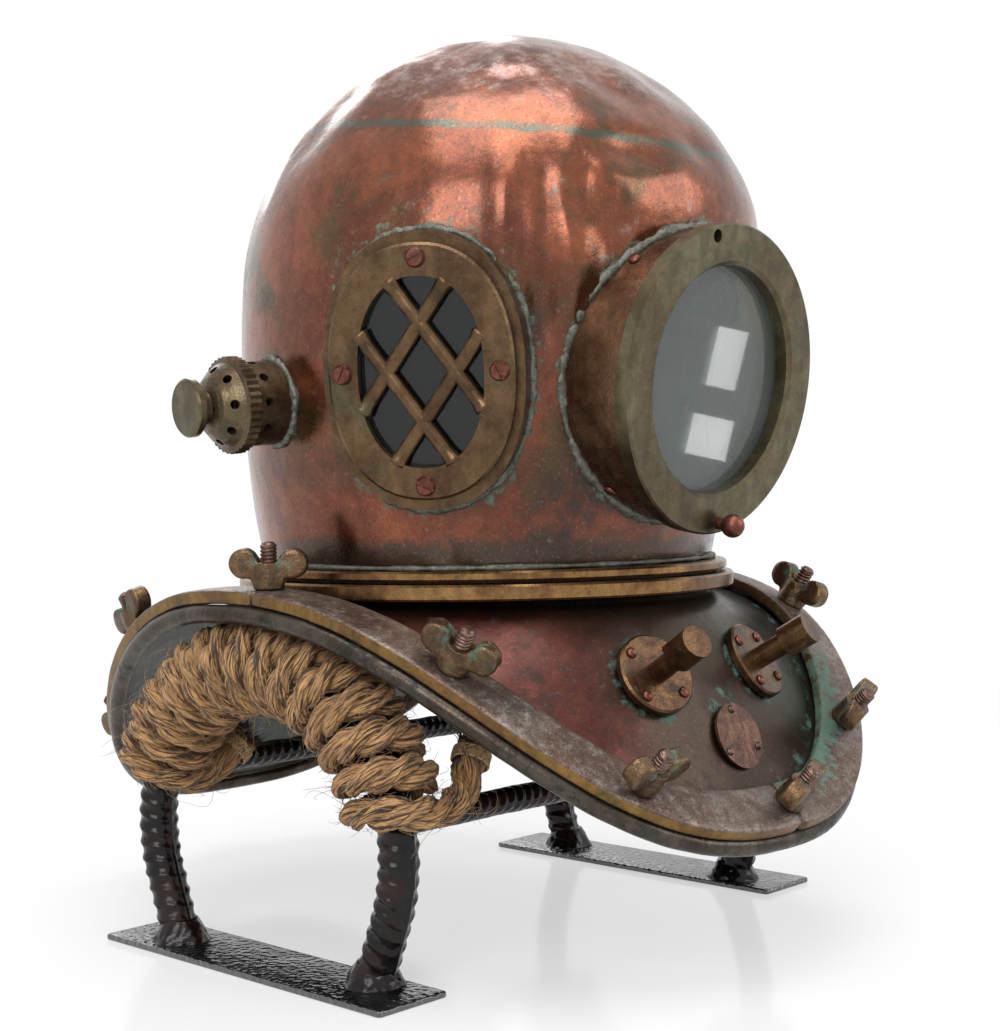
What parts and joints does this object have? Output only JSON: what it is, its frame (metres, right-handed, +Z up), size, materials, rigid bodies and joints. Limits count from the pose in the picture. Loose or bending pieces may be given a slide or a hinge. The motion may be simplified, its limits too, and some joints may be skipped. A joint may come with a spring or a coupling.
{
  "type": "diving helmet on a stand",
  "caption": "Hard-hat diving helmet, a rounded bonnet with glazed lights on a flared corselet, resting on a stand of two rope-wound arches.",
  "frame": {"origin": "on the floor, under the middle of the stand, midway between its two arches", "axes": "+Z up, the wearer faces -Y, +X is the wearer's left"},
  "size_m": [0.3545, 0.4543, 0.4631],
  "materials": {
    "stand_plate": "satin",
    "stand_bar": "gloss",
    "rope": "rough",
    "twine": "rough",
    "corselet_copper": "satin",
    "bonnet_copper": "satin",
    "cast_brass": "satin",
    "brail_bronze": "satin",
    "wing_nut_bronze": "satin",
    "leather": "matte",
    "window_glass": "gloss",
    "seal_rubber": "matte",
    "spring_steel": "satin"
  },
  "bodies": {
    "stand": {"foot_plates": "stand_plate", "stand_arch_right": "stand_bar", "stand_arch_left": "stand_bar", "stand_crossbars": "stand_bar", "rope_winding_right": "rope", "rope_winding_left": "rope", "rope_whippings": "twine"},
    "corselet": {"corselet_shell": "corselet_copper", "corselet_neck_ring": "cast_brass", "neck_washer": "leather", "brail_front_right": "brail_bronze", "brail_front_left": "brail_bronze", "brail_rear_right": "brail_bronze", "brail_rear_left": "brail_bronze", "brail_studs": "cast_brass", "weight_stud_right": "cast_brass", "weight_stud_left": "cast_brass", "weight_stud_rivets": "cast_brass", "badge_plate": "cast_brass", "badge_screws": "cast_brass"},
    "bonnet": {"bonnet_shell": "bonnet_copper", "bonnet_neck_ring": "cast_brass", "front_tube": "cast_brass", "tube_rivets": "cast_brass", "side_seat_right": "cast_brass", "side_seat_left": "cast_brass", "side_frame_right": "cast_brass", "side_frame_left": "cast_brass", "side_glass_right": "window_glass", "side_glass_left": "window_glass", "side_frame_screws": "cast_brass", "exhaust_body": "cast_brass", "exhaust_spring": "spring_steel", "air_elbow": "cast_brass", "air_valve_retainer": "cast_brass", "air_valve_spring": "spring_steel"},
    "air_valve": {"air_valve_disc": "seal_rubber"},
    "front_glass_carrier": {"front_glass": "window_glass", "front_gasket": "seal_rubber"},
    "front_ring": {"front_ring": "cast_brass", "front_knob": "cast_brass"},
    "exhaust_cap": {"exhaust_cap": "cast_brass"},
    "exhaust_stem": {"exhaust_stem": "cast_brass", "exhaust_knob": "cast_brass"},
    "wing_nut_1": {"wing_nut_1": "wing_nut_bronze"},
    "wing_nut_2": {"wing_nut_2": "wing_nut_bronze"},
    "wing_nut_3": {"wing_nut_3": "wing_nut_bronze"},
    "wing_nut_4": {"wing_nut_4": "wing_nut_bronze"},
    "wing_nut_5": {"wing_nut_5": "wing_nut_bronze"},
    "wing_nut_6": {"wing_nut_6": "wing_nut_bronze"},
    "wing_nut_7": {"wing_nut_7": "wing_nut_bronze"},
    "wing_nut_8": {"wing_nut_8": "wing_nut_bronze"},
    "wing_nut_9": {"wing_nut_9": "wing_nut_bronze"},
    "wing_nut_10": {"wing_nut_10": "wing_nut_bronze"},
    "wing_nut_11": {"wing_nut_11": "wing_nut_bronze"},
    "wing_nut_12": {"wing_nut_12": "wing_nut_bronze"}
  },
  "joints": [
    {"name": "helmet_lift", "type": "slide", "parent": "stand", "child": "corselet", "axis": [0, 0, 1], "range_m": [0, 0.3]},
    {"name": "wing_nut_turn_1", "type": "hinge", "parent": "corselet", "child": "wing_nut_1", "pos_m": [0, -0.201, 0.08115], "axis": [-0.0007, -0.6691, 0.7431], "continuous": true},
    {"name": "wing_nut_turn_2", "type": "hinge", "parent": "corselet", "child": "wing_nut_2", "pos_m": [0.08151, -0.17998, 0.10899], "axis": [-0.0745, -0.7319, 0.6773], "continuous": true},
    {"name": "wing_nut_turn_3", "type": "hinge", "parent": "corselet", "child": "wing_nut_3", "pos_m": [0.13221, -0.11493, 0.16245], "axis": [0.1617, -0.4726, 0.8663], "continuous": true},
    {"name": "wing_nut_turn_4", "type": "hinge", "parent": "corselet", "child": "wing_nut_4", "pos_m": [0.15083, -0.01263, 0.18199], "axis": [0.0382, -0.0227, 0.999], "continuous": true},
    {"name": "wing_nut_turn_5", "type": "hinge", "parent": "corselet", "child": "wing_nut_5", "pos_m": [0.13911, 0.10647, 0.15634], "axis": [0.1184, 0.5336, 0.8374], "continuous": true},
    {"name": "wing_nut_turn_6", "type": "hinge", "parent": "corselet", "child": "wing_nut_6", "pos_m": [0.0989, 0.17746, 0.09702], "axis": [0.1046, 0.7597, 0.6418], "continuous": true},
    {"name": "wing_nut_turn_7", "type": "hinge", "parent": "corselet", "child": "wing_nut_7", "pos_m": [0, 0.213, 0.06375], "axis": [0, 0.766, 0.6428], "continuous": true},
    {"name": "wing_nut_turn_8", "type": "hinge", "parent": "corselet", "child": "wing_nut_8", "pos_m": [-0.0989, 0.17746, 0.09702], "axis": [-0.1046, 0.7597, 0.6418], "continuous": true},
    {"name": "wing_nut_turn_9", "type": "hinge", "parent": "corselet", "child": "wing_nut_9", "pos_m": [-0.13911, 0.10647, 0.15634], "axis": [-0.1184, 0.5336, 0.8374], "continuous": true},
    {"name": "wing_nut_turn_10", "type": "hinge", "parent": "corselet", "child": "wing_nut_10", "pos_m": [-0.15083, -0.01263, 0.1818], "axis": [-0.0376, -0.0478, 0.9982], "continuous": true},
    {"name": "wing_nut_turn_11", "type": "hinge", "parent": "corselet", "child": "wing_nut_11", "pos_m": [-0.13221, -0.11493, 0.14895], "axis": [-0.104, -0.5645, 0.8188], "continuous": true},
    {"name": "wing_nut_turn_12", "type": "hinge", "parent": "corselet", "child": "wing_nut_12", "pos_m": [-0.08151, -0.17998, 0.09703], "axis": [-0.0442, -0.694, 0.7186], "continuous": true},
    {"name": "bonnet_turn", "type": "hinge", "parent": "corselet", "child": "bonnet", "pos_m": [0, -0.011, 0.30105], "axis": [0, 0, 1], "range_deg": [0, 45]},
    {"name": "front_glass_travel", "type": "slide", "parent": "bonnet", "child": "front_glass_carrier", "axis": [0.0173, -0.9883, -0.1513], "range_m": [0, 0.009]},
    {"name": "front_ring_turn", "type": "hinge", "parent": "front_glass_carrier", "child": "front_ring", "pos_m": [0.00259, -0.15925, 0.27836], "axis": [0.0173, -0.9883, -0.1513], "range_deg": [0, 1080]},
    {"name": "exhaust_cap_turn", "type": "hinge", "parent": "bonnet", "child": "exhaust_cap", "pos_m": [-0.15302, 0.01051, 0.26949], "axis": [-0.9872, 0.1387, -0.0785], "range_deg": [0, 360]},
    {"name": "exhaust_stem_slide", "type": "slide", "parent": "bonnet", "child": "exhaust_stem", "axis": [-0.9872, 0.1387, -0.0785], "range_m": [0, 0.006], "stiffness_N_per_m": 200, "springref_m": -0.004, "deforming": ["exhaust_spring"]},
    {"name": "air_valve_open", "type": "slide", "parent": "bonnet", "child": "air_valve", "axis": [-0.4226, -0.9063, 0], "range_m": [0, 0.005], "stiffness_N_per_m": 60, "springref_m": -0.004, "deforming": ["air_valve_spring"]}
  ],
  "couplings": [
    {"joint": "front_glass_travel", "follows": "front_ring_turn", "m_per_rad": 0.00047746}
  ]
}
